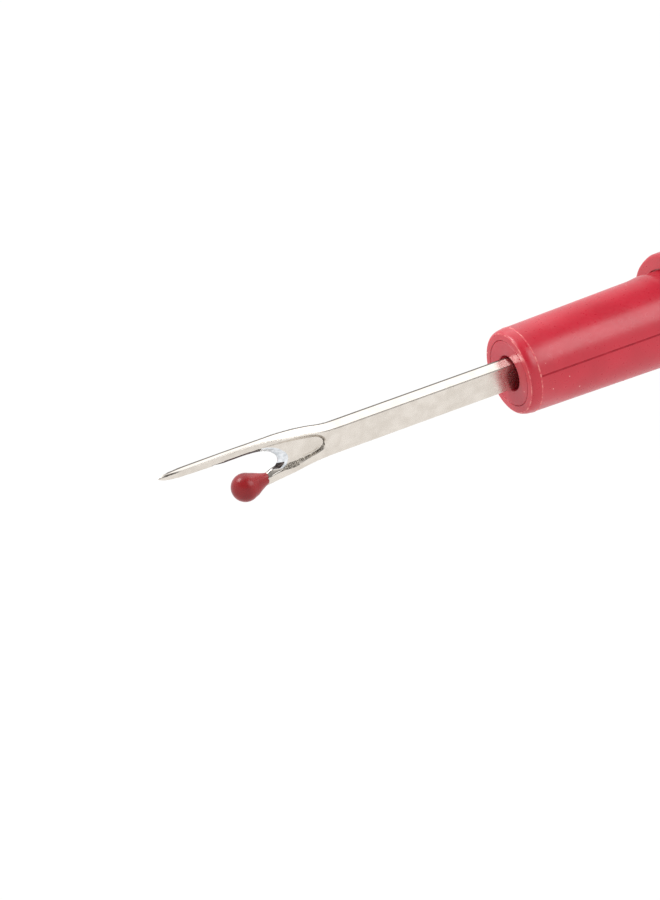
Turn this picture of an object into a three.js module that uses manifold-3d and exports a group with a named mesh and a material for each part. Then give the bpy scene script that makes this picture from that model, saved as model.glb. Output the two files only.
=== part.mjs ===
// Seam ripper: a forked steel blade held in a red moulded handle.
// Millimetres, +Z up. The tool lies along X with its point towards -X, and rests on the
// lower flat of its grip, which is the plane Z = 0. Places along the tool are measured from
// the front face of the neck, where the blade comes out, and heights from the tool's axis.
import * as THREE from 'three';
import { mergeVertices } from 'three/addons/utils/BufferGeometryUtils.js';
import Module from 'manifold-3d';

const wasm = await Module();
wasm.setup();

// ---------------------------------------------------------------- driving dimensions

// Blade: a flat bar with a fork at the front and a tang at the back.
const bladeReach = 39.6; // neck face to the point
const shankHeight = 3.2;
const shankThickness = 1.4;
const forkLength = 18.8; // point to where the shank starts to flare
const crotchDepth = 12.9; // point to the bottom of the cutting notch
const longProngTop = 2.86; // upper edge of the long prong above the axis
const longProngHeight = 1.12; // upper edge to cutting edge
const pointDrop = 0.12; // how far the point lies under the long prong's upper edge
const pointLength = 5.2; // length over which the long prong's back comes down to its point
const chinLength = 1.7; // length over which its underside comes up to the point
const chinRise = 0.38; // underside above the cutting edge where that starts
const webThickness = 0.66; // coined thickness of the fork
const pointThickness = 0.24; // thickness left at the very point
const thinLead = 1.4; // the fork starts to thin this far behind the notch
const thinRun = 2.3; // and has thinned to the web this far in front of it
const edgeBevel = 0.42; // width of the ground bevel beside the cutting edge
const edgeEnd = 6.1; // point to the front end of the ground bevel
const notchLead = 2.3; // the cutting edge turns down this far in front of the notch's bottom
const notchCentre = -0.3; // deepest place of the notch, below the axis
const lipLead = 1.05; // notch's bottom to the lip where it meets the short prong
const lipRise = 0.42; // lip above the short prong's upper edge
const backSwell = 0.42; // share of the fork's rise reached where its back turns over
const bellyDip = 0.55; // lowest place of the fork's belly below the shank's lower edge
const pocketLength = 5.1; // bottom of the notch to the rear end of the coined pocket
const pocketFloorTop = 1.72; // upper and lower edges of the pocket's floor at the notch
const pocketFloorLow = -1.1;
const pocketWall = 0.42; // width of the sloping wall round the pocket
const pocketRound = 1.3; // length of the pocket's rounded rear end
const shortProngLag = 9.8; // point of the long prong to the end of the short one
const shortProngDrop = 2.36; // centre of the short prong's end below the axis
const shortProngHeight = 0.8;
const shortProngRise = 0.26; // upper edge of the short prong at the bead's neck, above its end

// Bead on the short prong.
const beadRadius = 1.44;
const beadLead = 0.45; // centre of the bead ahead of the short prong's end
const beadNeckWall = 0.09; // plastic outside the corners of the prong at the bead's neck
const beadNeckLength = 2.3; // centre of the bead to the rear end of its neck
const beadClearance = 0.03;

// Tang, and the plug that grips it.
const tangLength = 22; // neck face to the rear end of the tang
const tangNotchRadius = 0.45; // keying notches in the tang's edges
const boreDepth = 9; // depth of the round bore in front of the tang's slot
const boreClearance = 0.12; // blade corners to the bore
const slotClearance = 0.02;
const plugBottom = 2; // solid end of the plug behind the tang
const plugClearance = 0.03; // plug to the bore of the neck
const plugChamfer = 0.12;

// Neck of the handle, which a protective cap slides over.
const neckRadius = 4.5;
const neckDraft = 0.0101; // growth of the neck's radius per millimetre of length
const neckWall = 1.01;
const neckLength = 20; // front face to the shoulder
const rimLength = 1.05; // length of the rounded front rim
const rimDepth = 0.36;
const ridgeHeight = 0.24; // snap ridge near the back of the neck
const ridgeLength = 1.5;
const grooveLength = 1.3; // groove between the snap ridge and the shoulder
const reliefDepth = 0.25; // relief at the foot of the neck, so that the cap's rim seats flat
const reliefStand = 0.1; // relief's outer edge outside the snap ridge

// Grip behind the shoulder.
const shoulderStep = 1.94; // shoulder outside the neck's front radius
const shoulderRound = 0.8;
const gripLength = 74; // shoulder to the rear end of the tool
const flatStand = 0.02; // the flats stand just outside the round shoulder
const cornerStand = 0.7; // the rounded corners of the six-sided grip stand outside its flats
const swellLength = 9; // length over which the round shoulder grows into the grip
const tailTaperLength = 14;
const tailInset = 0.56; // rear end of the grip inside its flats
const gripWall = 2.05;
const stopWall = 2; // inner wall that the blade plug is pushed up to
const stopHoleRadius = 2.3;
const stopGap = 0.05;

// Plug that closes the hollow grip at the back.
const tailPlugHead = 2.8;
const tailPlugStem = 8;
const tailPlugWall = 1.4;
const tailPlugClearance = 0.04;
const tailPlugRound = 1.9;

// Facets.
const roundSides = 48;
const beadSides = 28;
const curveSteps = 7;

// ---------------------------------------------------------------- sizes worked out from them

const halfShank = shankHeight / 2;
const halfWeb = webThickness / 2;
const tipX = -bladeReach;
const forkX = tipX + forkLength;
const crotchX = tipX + crotchDepth;
const edgeEndX = tipX + edgeEnd;
const notchCornerX = crotchX - notchLead;
const lipX = crotchX - lipLead;
const thinStartX = crotchX + thinLead;
const thinEndX = crotchX - thinRun;
const cuttingEdgeZ = longProngTop - longProngHeight;
const shortEndX = tipX + shortProngLag;
const shortTopZ = -shortProngDrop + shortProngHeight / 2;
const shortLowZ = -shortProngDrop - shortProngHeight / 2;
const lipZ = shortTopZ + lipRise;
const beadX = shortEndX - beadLead;
const beadNeckX = beadX + beadNeckLength;
const holeHalfWidth = halfThicknessAt(beadNeckX) + beadClearance;
const holeTopZ = shortTopZ + shortProngRise + beadClearance;
const holeLowZ = shortLowZ - beadClearance;
const beadNeckRadius = Math.hypot(holeHalfWidth, holeTopZ + shortProngDrop) + beadNeckWall;
const boreRadius = Math.hypot(halfShank, shankThickness / 2) + boreClearance;
const neckBoreRadius = neckRadius - neckWall;
const plugLength = tangLength + plugBottom;
const plugRadius = neckBoreRadius - plugClearance;
const rimInset = Math.min(rimDepth, neckWall / 2);
const shoulderRadius = neckRadius + shoulderStep;
const gripApothem = shoulderRadius + flatStand;
const gripCornerRadius = gripApothem + cornerStand;
const tailRadius = gripApothem - tailInset;
const coreRadius = gripApothem - gripWall;
const tailX = neckLength + gripLength;
const shellEndX = tailX - tailPlugHead;

// ---------------------------------------------------------------- helpers

// Half the thickness of the fork at a place along the tool.
function halfThicknessAt(x) {
  const share = (thinStartX - x) / (thinStartX - thinEndX);
  return THREE.MathUtils.lerp(shankThickness / 2, halfWeb, THREE.MathUtils.clamp(share, 0, 1));
}

function toSolid(geometry) {
  const bare = geometry.clone();
  bare.deleteAttribute('normal');
  bare.deleteAttribute('uv');
  const merged = mergeVertices(bare, 1e-5);
  const vertProperties = new Float32Array(merged.attributes.position.array);
  const triVerts = new Uint32Array(merged.index.array);
  return new wasm.Manifold(new wasm.Mesh({ numProp: 3, vertProperties, triVerts }));
}

function toMesh(name, solid, material) {
  const { vertProperties, triVerts } = solid.getMesh();
  const geometry = new THREE.BufferGeometry();
  geometry.setAttribute('position', new THREE.BufferAttribute(vertProperties, 3));
  geometry.setIndex(new THREE.BufferAttribute(triVerts, 1));
  geometry.computeVertexNormals();
  const mesh = new THREE.Mesh(geometry, material);
  mesh.name = name;
  return mesh;
}

// A shape turned about the X axis. Each profile point is [radius, place along X].
function turnedGeometry(profile, sides) {
  const points = profile.map(([radius, x]) => new THREE.Vector2(radius, x));
  const geometry = new THREE.LatheGeometry(points, sides);
  geometry.rotateZ(-Math.PI / 2);
  return geometry;
}

function turned(profile) {
  return toSolid(turnedGeometry(profile, roundSides));
}

function cylinder(radius, startX, endX) {
  return turned([[0, startX], [radius, startX], [radius, endX], [0, endX]]);
}

function box(startX, endX, width, lowZ, topZ) {
  const geometry = new THREE.BoxGeometry(endX - startX, width, topZ - lowZ);
  geometry.translate((startX + endX) / 2, 0, (lowZ + topZ) / 2);
  return toSolid(geometry);
}

// A side outline, drawn in X and Z, made a plate that is centred on the XZ plane.
function plate(outline, thickness) {
  const options = { depth: thickness, bevelEnabled: false, curveSegments: curveSteps };
  const geometry = new THREE.ExtrudeGeometry(outline, options);
  geometry.rotateX(Math.PI / 2);
  geometry.translate(0, thickness / 2, 0);
  return toSolid(geometry);
}

// A cutter for the -Y side. It has the outline's own size at the distance `from` from the XZ
// plane, opens out by `flare` over the next `rise`, and then goes straight on outwards.
function flaredGeometry(points, from, rise, flare) {
  const options = {
    depth: shankThickness,
    bevelEnabled: true,
    bevelThickness: rise,
    bevelSize: flare,
    bevelSegments: 1,
  };
  const geometry = new THREE.ExtrudeGeometry(new THREE.Shape(points), options);
  geometry.rotateX(Math.PI / 2);
  geometry.translate(0, -from - rise, 0);
  return geometry;
}

// The same cutter on both flat sides of the blade.
function flaredPair(outline, from, rise, flare) {
  const points = outline.getPoints(curveSteps);
  const turnedPoints = points.map((point) => new THREE.Vector2(-point.x, point.y));
  const near = flaredGeometry(points, from, rise, flare);
  const far = flaredGeometry(turnedPoints, from, rise, flare);
  far.rotateZ(Math.PI);
  return toSolid(near).add(toSolid(far));
}

// Profile points of a quarter ellipse from one corner of a rounding to the other. The curve
// leaves its start across the axis where `acrossFirst` is true, and along it otherwise.
function quarterRound(startRadius, startX, endRadius, endX, steps, acrossFirst) {
  const points = [];
  for (let step = 0; step <= steps; step += 1) {
    const angle = (Math.PI / 2) * (step / steps);
    const early = Math.sin(angle);
    const late = 1 - Math.cos(angle);
    const across = acrossFirst ? early : late;
    const along = acrossFirst ? late : early;
    points.push([
      startRadius + (endRadius - startRadius) * across,
      startX + (endX - startX) * along,
    ]);
  }
  return points;
}

// ---------------------------------------------------------------- blade

// The notch from the long prong's cutting edge round its bottom to the lip of the short prong.
function drawNotch(outline) {
  const upperPullX = crotchX - notchLead / 3;
  const lowerPullX = crotchX - lipLead / 2;
  outline.lineTo(notchCornerX, cuttingEdgeZ);
  outline.bezierCurveTo(upperPullX, cuttingEdgeZ, crotchX, 0.75, crotchX, notchCentre);
  outline.bezierCurveTo(crotchX, -0.9, lowerPullX, lipZ + 0.2, lipX, lipZ);
}

// The back of the fork, from the shank up to the level top of the long prong.
function drawBack(outline) {
  const turnX = (forkX + crotchX) / 2 + 0.3;
  const turnZ = THREE.MathUtils.lerp(halfShank, longProngTop, backSwell);
  const levelX = crotchX - 3.3;
  outline.lineTo(forkX, halfShank);
  outline.bezierCurveTo(forkX - 0.7, halfShank, forkX - 1.3, turnZ - 0.25, turnX, turnZ);
  outline.bezierCurveTo(turnX - 2, turnZ + 0.32, crotchX, longProngTop, levelX, longProngTop);
}

// The point of the long prong: its back curves down to it and its chin comes up to it.
function drawPoint(outline) {
  const chinX = tipX + chinLength;
  const pointZ = longProngTop - pointDrop;
  outline.lineTo(tipX + pointLength, longProngTop);
  outline.quadraticCurveTo(tipX + 1.5, longProngTop, tipX, pointZ);
  outline.quadraticCurveTo(tipX + 0.4, cuttingEdgeZ + 0.55, chinX, cuttingEdgeZ + chinRise);
  outline.quadraticCurveTo(tipX + 3.6, cuttingEdgeZ + 0.12, edgeEndX, cuttingEdgeZ);
}

// The short prong from its lip to its end, and back along the belly of the fork.
function drawShortProng(outline) {
  const corner = shortProngHeight / 4;
  const bellyZ = -halfShank - bellyDip;
  outline.quadraticCurveTo(lipX - 0.4, shortTopZ, shortEndX + corner, shortTopZ);
  outline.lineTo(shortEndX, shortTopZ - corner);
  outline.lineTo(shortEndX, shortLowZ + corner);
  outline.lineTo(shortEndX + corner, shortLowZ);
  outline.quadraticCurveTo(crotchX - 1, shortLowZ, crotchX + 0.3, shortLowZ + 0.3);
  outline.bezierCurveTo(crotchX + 2.2, bellyZ, forkX - 1.8, -halfShank, forkX - 0.6, -halfShank);
}

// The whole side outline of the blade, from the tang's rear end round by the point.
function bladeOutline() {
  const outline = new THREE.Shape();
  outline.moveTo(tangLength, -halfShank);
  outline.lineTo(tangLength, halfShank);
  drawBack(outline);
  drawPoint(outline);
  drawNotch(outline);
  drawShortProng(outline);
  outline.lineTo(tangLength, -halfShank);
  return outline;
}

// Seen from above, the fork thins from the bar's thickness to the web's and on to the point.
function thinnedFork() {
  const halfBar = shankThickness / 2;
  const profile = [
    [tangLength + 1, halfBar + 1],
    [thinStartX, halfBar + 1],
    [thinStartX, halfThicknessAt(thinStartX)],
    [thinEndX, halfThicknessAt(thinEndX)],
    [tipX + pointLength / 2, halfWeb * 0.9],
    [tipX, pointThickness / 2],
    [tipX - 1, pointThickness / 2],
  ];
  const farSide = profile.map(([x, y]) => new THREE.Vector2(x, y));
  const nearSide = profile.map(([x, y]) => new THREE.Vector2(x, -y)).reverse();
  const outline = new THREE.Shape([...farSide, ...nearSide]);
  const height = 6 * longProngTop;
  const geometry = new THREE.ExtrudeGeometry(outline, { depth: height, bevelEnabled: false });
  geometry.translate(0, 0, -height / 2);
  return toSolid(geometry);
}

// The space between the prongs, open towards the point, as far as the ground edge runs.
function notchOutline() {
  const outline = new THREE.Shape();
  outline.moveTo(edgeEndX, cuttingEdgeZ);
  drawNotch(outline);
  outline.lineTo(edgeEndX, lipZ + 0.6);
  return outline;
}

// The floor of the coined pocket. It runs out at the front through the side of the long prong.
function pocketOutline() {
  const outline = new THREE.Shape();
  const rearX = crotchX + pocketLength;
  const roundX = rearX - pocketRound;
  const lowRoundZ = pocketFloorLow * 0.65;
  outline.moveTo(thinEndX - 1, longProngTop);
  outline.lineTo(crotchX, pocketFloorTop);
  outline.lineTo(roundX, halfShank * 0.72);
  outline.quadraticCurveTo(rearX, halfShank * 0.62, rearX, 0.2);
  outline.quadraticCurveTo(rearX, lowRoundZ / 2, roundX, lowRoundZ);
  outline.quadraticCurveTo(crotchX + 1.5, pocketFloorLow, crotchX, pocketFloorLow);
  outline.lineTo(thinEndX, pocketFloorLow - 0.6);
  return outline;
}

// The cutter of the round keying notch in one edge of the tang.
function tangNotch(edgeZ) {
  const centreX = (boreDepth + tangLength) / 2;
  const width = shankThickness * 2;
  const round = new THREE.CylinderGeometry(tangNotchRadius, tangNotchRadius, width, 16);
  round.translate(centreX, 0, edgeZ);
  return toSolid(round);
}

function makeBlade() {
  const coinDepth = shankThickness / 2 - halfWeb;
  const overlap = 0.02;
  const edgeCut = flaredPair(notchOutline(), -overlap, halfWeb + overlap, edgeBevel);
  const pockets = flaredPair(pocketOutline(), halfWeb, coinDepth, pocketWall);
  return plate(bladeOutline(), shankThickness)
    .intersect(thinnedFork())
    .subtract(edgeCut)
    .subtract(pockets)
    .subtract(tangNotch(halfShank))
    .subtract(tangNotch(-halfShank));
}

// ---------------------------------------------------------------- bead

function makeBead() {
  const profile = [[0, beadX - beadRadius]];
  const roundSteps = 12;
  const lastAngle = 0.66 * Math.PI;
  for (let step = 1; step <= roundSteps; step += 1) {
    const angle = lastAngle * (step / roundSteps);
    profile.push([beadRadius * Math.sin(angle), beadX - beadRadius * Math.cos(angle)]);
  }
  const [taperRadius, taperX] = profile[profile.length - 1];
  for (const share of [0.25, 0.5, 0.75, 1]) {
    const ease = share * (2 - share);
    profile.push([
      taperRadius + (beadNeckRadius - taperRadius) * ease,
      taperX + (beadNeckX - taperX) * share,
    ]);
  }
  profile.push([0, beadNeckX]);
  const geometry = turnedGeometry(profile, beadSides);
  geometry.translate(0, 0, -shortProngDrop);
  return toSolid(geometry);
}

// The hole that the short prong fills, a clearance larger than the prong all round.
function prongHole() {
  return box(shortEndX - beadClearance, beadNeckX + 1, 2 * holeHalfWidth, holeLowZ, holeTopZ);
}

// ---------------------------------------------------------------- plug round the tang

function makeBladePlug() {
  const body = turned([
    [0, 0],
    [plugRadius - plugChamfer, 0],
    [plugRadius, plugChamfer],
    [plugRadius, plugLength - plugChamfer],
    [plugRadius - plugChamfer, plugLength],
    [0, plugLength],
  ]);
  const slotHalf = halfShank + slotClearance;
  const slotWidth = shankThickness + 2 * slotClearance;
  const slot = box(boreDepth - 1, tangLength + slotClearance, slotWidth, -slotHalf, slotHalf);
  return body.subtract(cylinder(boreRadius, -1, boreDepth)).subtract(slot);
}

// ---------------------------------------------------------------- handle

function neckRadiusAt(x) {
  return neckRadius + neckDraft * x;
}

function neckProfile() {
  const rimRadius = neckRadiusAt(rimLength);
  const profile = [[0, 0]];
  profile.push(...quarterRound(neckRadius - rimInset, 0, rimRadius, rimLength, 5, true));
  const ridgeEndX = neckLength - grooveLength;
  const ridgeSteps = 6;
  for (let step = 0; step <= ridgeSteps; step += 1) {
    const share = step / ridgeSteps;
    const x = ridgeEndX - ridgeLength * (1 - share);
    profile.push([neckRadiusAt(x) + ridgeHeight * Math.sin(Math.PI * share), x]);
  }
  const reliefEndX = neckLength + reliefDepth;
  const reliefRadius = neckRadiusAt(neckLength) + ridgeHeight + reliefStand;
  profile.push([neckRadiusAt(neckLength), reliefEndX]);
  profile.push([reliefRadius, reliefEndX]);
  profile.push([reliefRadius, neckLength]);
  return profile;
}

// The round body that the six flats are cut from: shoulder, swell, barrel and tail.
function gripProfile() {
  const profile = [];
  const roundEndX = neckLength + shoulderRound;
  const faceRadius = shoulderRadius - shoulderRound;
  profile.push(...quarterRound(faceRadius, neckLength, shoulderRadius, roundEndX, 5, true));
  const swellSteps = 6;
  for (let step = 1; step <= swellSteps; step += 1) {
    const share = step / swellSteps;
    const ease = share * share * (3 - 2 * share);
    profile.push([
      shoulderRadius + (gripCornerRadius - shoulderRadius) * ease,
      roundEndX + swellLength * share,
    ]);
  }
  const taperX = shellEndX - tailTaperLength;
  profile.push(...quarterRound(gripCornerRadius, taperX, tailRadius, shellEndX, 7, false));
  profile.push([0, shellEndX]);
  return profile;
}

function sixSidedBar() {
  const cornerRadius = gripApothem / Math.cos(Math.PI / 6);
  const length = 2 * tailX;
  const geometry = new THREE.CylinderGeometry(cornerRadius, cornerRadius, length, 6);
  geometry.rotateY(Math.PI / 6);
  geometry.rotateZ(-Math.PI / 2);
  return toSolid(geometry);
}

function makeHandle() {
  const outside = turned([...neckProfile(), ...gripProfile()]).intersect(sixSidedBar());
  const stopX = plugLength + stopGap;
  const inside = turned([
    [0, -1],
    [neckBoreRadius, -1],
    [neckBoreRadius, stopX],
    [stopHoleRadius, stopX],
    [stopHoleRadius, stopX + stopWall],
    [coreRadius, stopX + stopWall],
    [coreRadius, tailX],
    [0, tailX],
  ]);
  return outside.subtract(inside);
}

// ---------------------------------------------------------------- tail plug

function makeTailPlug() {
  const headX = shellEndX + tailPlugClearance;
  const stemX = headX - tailPlugStem;
  const stemRadius = coreRadius - tailPlugClearance;
  const domeX = tailX - tailPlugRound;
  const domeRadius = tailRadius - tailPlugRound;
  return turned([
    [0, headX],
    [stemRadius - tailPlugWall, headX],
    [stemRadius - tailPlugWall, stemX],
    [stemRadius, stemX],
    [stemRadius, headX],
    [tailRadius, headX],
    ...quarterRound(tailRadius, domeX, domeRadius, tailX, 6, false),
    [0, tailX],
  ]);
}

// ---------------------------------------------------------------- assembly

const steel = new THREE.MeshStandardMaterial({
  name: 'nickelled_steel',
  color: 0xc9c5bf,
  metalness: 0.95,
  roughness: 0.28,
});
const beadPlastic = new THREE.MeshStandardMaterial({
  name: 'bead_plastic',
  color: 0x9a1c26,
  metalness: 0,
  roughness: 0.2,
});
const plugPlastic = new THREE.MeshStandardMaterial({
  name: 'plug_plastic',
  color: 0xc4303f,
  metalness: 0,
  roughness: 0.4,
});
const handlePlastic = new THREE.MeshStandardMaterial({
  name: 'handle_plastic',
  color: 0xc8283a,
  metalness: 0,
  roughness: 0.35,
});
const tailPlastic = new THREE.MeshStandardMaterial({
  name: 'tail_plastic',
  color: 0xc02838,
  metalness: 0,
  roughness: 0.38,
});

const seamRipper = new THREE.Group();
seamRipper.name = 'seam_ripper';
seamRipper.add(toMesh('blade', makeBlade(), steel));
seamRipper.add(toMesh('ball_tip', makeBead().subtract(prongHole()), beadPlastic));
seamRipper.add(toMesh('blade_plug', makeBladePlug(), plugPlastic));
seamRipper.add(toMesh('handle', makeHandle(), handlePlastic));
seamRipper.add(toMesh('tail_plug', makeTailPlug(), tailPlastic));

// The part's origin is the middle of its length, on the plane that the grip rests on.
seamRipper.position.set((bladeReach - tailX) / 2, 0, gripApothem);

export default seamRipper;
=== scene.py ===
# %% [markdown]
# # A seam ripper
#
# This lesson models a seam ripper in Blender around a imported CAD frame. The real tool is a
# small forked steel blade, nickel plated, held in a moulded red handle. A ball of plastic is
# dipped onto the short prong, a plug inside the neck grips the blade, and a second plug closes
# the hollow grip at the back. The frame gives every size and place. Each CAD piece is modelled
# again here with a finer surface, and the new piece stands for the plain one.

# %% Load the frame
import math

import bmesh
import bpy
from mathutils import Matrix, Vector
from mathutils.bvhtree import BVHTree


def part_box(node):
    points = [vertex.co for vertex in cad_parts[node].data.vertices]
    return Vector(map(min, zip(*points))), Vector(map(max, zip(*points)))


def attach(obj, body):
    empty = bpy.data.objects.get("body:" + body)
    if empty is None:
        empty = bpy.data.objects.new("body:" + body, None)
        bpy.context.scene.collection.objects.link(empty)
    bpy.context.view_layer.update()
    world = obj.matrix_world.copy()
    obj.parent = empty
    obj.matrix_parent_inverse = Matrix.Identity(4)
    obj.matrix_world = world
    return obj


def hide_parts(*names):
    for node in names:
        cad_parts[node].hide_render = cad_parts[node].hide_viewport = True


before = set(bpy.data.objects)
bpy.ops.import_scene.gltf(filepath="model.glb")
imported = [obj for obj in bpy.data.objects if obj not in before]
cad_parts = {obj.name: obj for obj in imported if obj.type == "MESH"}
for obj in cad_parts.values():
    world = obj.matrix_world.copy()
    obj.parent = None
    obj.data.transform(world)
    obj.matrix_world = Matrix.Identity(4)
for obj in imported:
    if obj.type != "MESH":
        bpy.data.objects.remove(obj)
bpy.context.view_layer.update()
print("frame pieces:", ", ".join(sorted(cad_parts)))

# %% [markdown]
# ## Places
#
# A tool maker measures this object along its axis. So lengths here run from the flat front
# face of the neck, negative towards the point, and heights run from the tool's axis. Both are
# in millimetres, and `place` turns them into the frame's metres.

# %% Measure the frame
MM = 0.001
neck_low, neck_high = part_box("handle")
blade_low, blade_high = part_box("blade")
bead_low, bead_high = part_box("ball_tip")
plug_low, plug_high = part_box("blade_plug")
_, tail_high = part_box("tail_plug")
FACE_X = neck_low.x
AXIS_Z = (neck_low.z + neck_high.z) / 2


def place(length, side, height):
    return Vector((FACE_X + length * MM, side * MM, AXIS_Z + height * MM))


def length_of(x):
    return (x - FACE_X) / MM


TIP = length_of(blade_low.x)
TANG_END = length_of(blade_high.x)
TAIL_END = length_of(tail_high.x)
SHELL_END = length_of(neck_high.x)
FLAT_RADIUS = (neck_high.z - neck_low.z) / 2 / MM
CORNER_RADIUS = (neck_high.y - neck_low.y) / 2 / MM
print(f"point {TIP:.1f}, tang {TANG_END:.1f}, tail {TAIL_END:.1f} mm from the neck's face")

# %% [markdown]
# ## Camera
#
# The blade is the part worth showing, so the camera looks down on it from the front left with
# a long lens, which keeps the prongs free of distortion. The handle runs out of the picture.
# Its place is worked out from a target point on the table, a direction and a distance.

# %% Set up the camera
TARGET = Vector((-0.0454, 0.0046, 0.0005))
CAMERA_DISTANCE = 0.2432
CAMERA_AZIMUTH = math.radians(-29.49)
CAMERA_ELEVATION = math.radians(40.03)
backwards = Vector(
    (
        math.sin(CAMERA_AZIMUTH) * math.cos(CAMERA_ELEVATION),
        -math.cos(CAMERA_AZIMUTH) * math.cos(CAMERA_ELEVATION),
        math.sin(CAMERA_ELEVATION),
    )
)
camera_data = bpy.data.cameras.new("camera")
camera_data.lens = 96
camera_data.sensor_width = 36
camera_data.clip_start = 0.005
camera_data.clip_end = 20
camera = bpy.data.objects.new("camera", camera_data)
camera.location = TARGET + backwards * CAMERA_DISTANCE
camera.rotation_euler = (math.pi / 2 - CAMERA_ELEVATION, 0, CAMERA_AZIMUTH)
bpy.context.scene.collection.objects.link(camera)
bpy.context.scene.camera = camera
print("camera at", [round(value, 4) for value in camera.location])

# %% [markdown]
# ## Small helpers
#
# Blender's operators act on whatever is selected, so each step starts by letting everything
# go. These helpers do that, pick one piece, and run a list of edit-mode steps on it.


# %% Selection helpers
def let_go():
    if bpy.context.mode != "OBJECT":
        bpy.ops.object.mode_set(mode="OBJECT")
    bpy.ops.object.select_all(action="DESELECT")


def pick(piece):
    let_go()
    piece.select_set(True)
    bpy.context.view_layer.objects.active = piece


def edit_all(piece):
    pick(piece)
    bpy.ops.object.mode_set(mode="EDIT")
    bpy.ops.mesh.select_mode(type="VERT")
    bpy.ops.mesh.select_all(action="SELECT")


def close_up(piece):
    edit_all(piece)
    bpy.ops.mesh.remove_doubles(threshold=0.0005 * MM)
    bpy.ops.mesh.normals_make_consistent(inside=False)
    let_go()


def count_faces(piece):
    print(f"{piece.name}: {len(piece.data.polygons)} faces")


# %% [markdown]
# A modifier is added, given its values, and applied at once, so that what is exported is the
# real mesh.


# %% Modifier helper
def apply_modifier(piece, kind, **values):
    pick(piece)
    bpy.ops.object.modifier_add(type=kind)
    modifier = piece.modifiers[-1]
    for key, value in values.items():
        setattr(modifier, key, value)
    bpy.ops.object.modifier_apply(modifier=modifier.name)


def cut(piece, cutter, operation="DIFFERENCE"):
    apply_modifier(piece, "BOOLEAN", operation=operation, object=cutter, solver="EXACT")


def mirror_across(piece):
    apply_modifier(piece, "MIRROR", use_axis=(False, True, False), use_mirror_merge=False)


def throw_away(*helpers):
    for helper in helpers:
        bpy.data.objects.remove(helper)


# %% [markdown]
# ## Drawing outlines
#
# The blade starts life as a flat stamping. The natural way to draw such a shape is a Bezier
# curve with few knots: round knots take automatic handles, and corners take straight ones. The
# curve then becomes a mesh loop. Filled and extruded, it is a plate; bridged to a second loop,
# it is a tool with sloping walls, like the punches that shape the real blade.


# %% Outline helpers
def outline_loop(name, knots, to_place, steps=10):
    let_go()
    bpy.ops.curve.primitive_bezier_curve_add(location=(0, 0, 0))
    curve = bpy.context.object
    curve.name = name
    curve.data.dimensions = "3D"
    spline = curve.data.splines[0]
    spline.use_cyclic_u = True
    spline.resolution_u = steps
    spline.bezier_points.add(len(knots) - len(spline.bezier_points))
    for point, (along, across, *corner) in zip(spline.bezier_points, knots):
        kind = "VECTOR" if corner else "AUTO"
        point.co = to_place(along, across)
        point.handle_left_type = kind
        point.handle_right_type = kind
    bpy.ops.object.convert(target="MESH")
    return bpy.context.object


def plate(name, knots, to_place, thickness, steps=10):
    piece = outline_loop(name, knots, to_place, steps)
    edit_all(piece)
    bpy.ops.mesh.edge_face_add()
    bpy.ops.mesh.extrude_region_move(TRANSFORM_OT_translate={"value": thickness})
    close_up(piece)
    return piece


CORNER = True
CLEAR = 1.6


def sloped_punch(name, inner_knots, inner_side, outer_knots, outer_side, steps=10):
    """A cutter for one flat side, whose walls slope from an inner loop to an outer one."""
    inner = outline_loop(
        name, inner_knots, lambda along, up: place(along, -inner_side, up), steps
    )
    outer = outline_loop(
        name + "_rim", outer_knots, lambda along, up: place(along, -outer_side, up), steps
    )
    pick(outer)
    inner.select_set(True)
    bpy.context.view_layer.objects.active = inner
    bpy.ops.object.join()
    edit_all(inner)
    bpy.ops.mesh.select_mode(type="EDGE")
    bpy.ops.mesh.bridge_edge_loops()
    let_go()
    select_by_place(inner, lambda co: co.y < -(outer_side - 0.001) * MM)
    bpy.ops.mesh.extrude_region_move(
        TRANSFORM_OT_translate={"value": (0, (outer_side - CLEAR) * MM, 0)}
    )
    bpy.ops.mesh.edge_face_add()
    let_go()
    select_by_place(inner, lambda co: co.y > -(inner_side + 0.001) * MM)
    bpy.ops.mesh.edge_face_add()
    close_up(inner)
    return inner


def select_by_place(piece, test):
    """Goes into edit mode with just the vertices selected whose place passes the test."""
    pick(piece)
    bpy.ops.object.mode_set(mode="EDIT")
    bpy.ops.mesh.select_mode(type="VERT")
    bpy.ops.mesh.select_all(action="DESELECT")
    bpy.ops.object.mode_set(mode="OBJECT")
    for vertex in piece.data.vertices:
        vertex.select = test(vertex.co)
    bpy.ops.object.mode_set(mode="EDIT")


# %% [markdown]
# ## The blade's side outline
#
# Seen from the side, the bar swells into a fork. The long prong runs level and ends in a
# point, the notch between the prongs is the cutting edge, and the short prong is only a stub
# for the bead. The knots go from the tang round by the point and back under the belly.

# %% Stamp the blade
SHANK_HALF_HEIGHT = 1.6
PLATE_HALF = 0.7
PRONG_TOP = (blade_high.z - AXIS_Z) / MM
SHORT_END = -29.8

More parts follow.
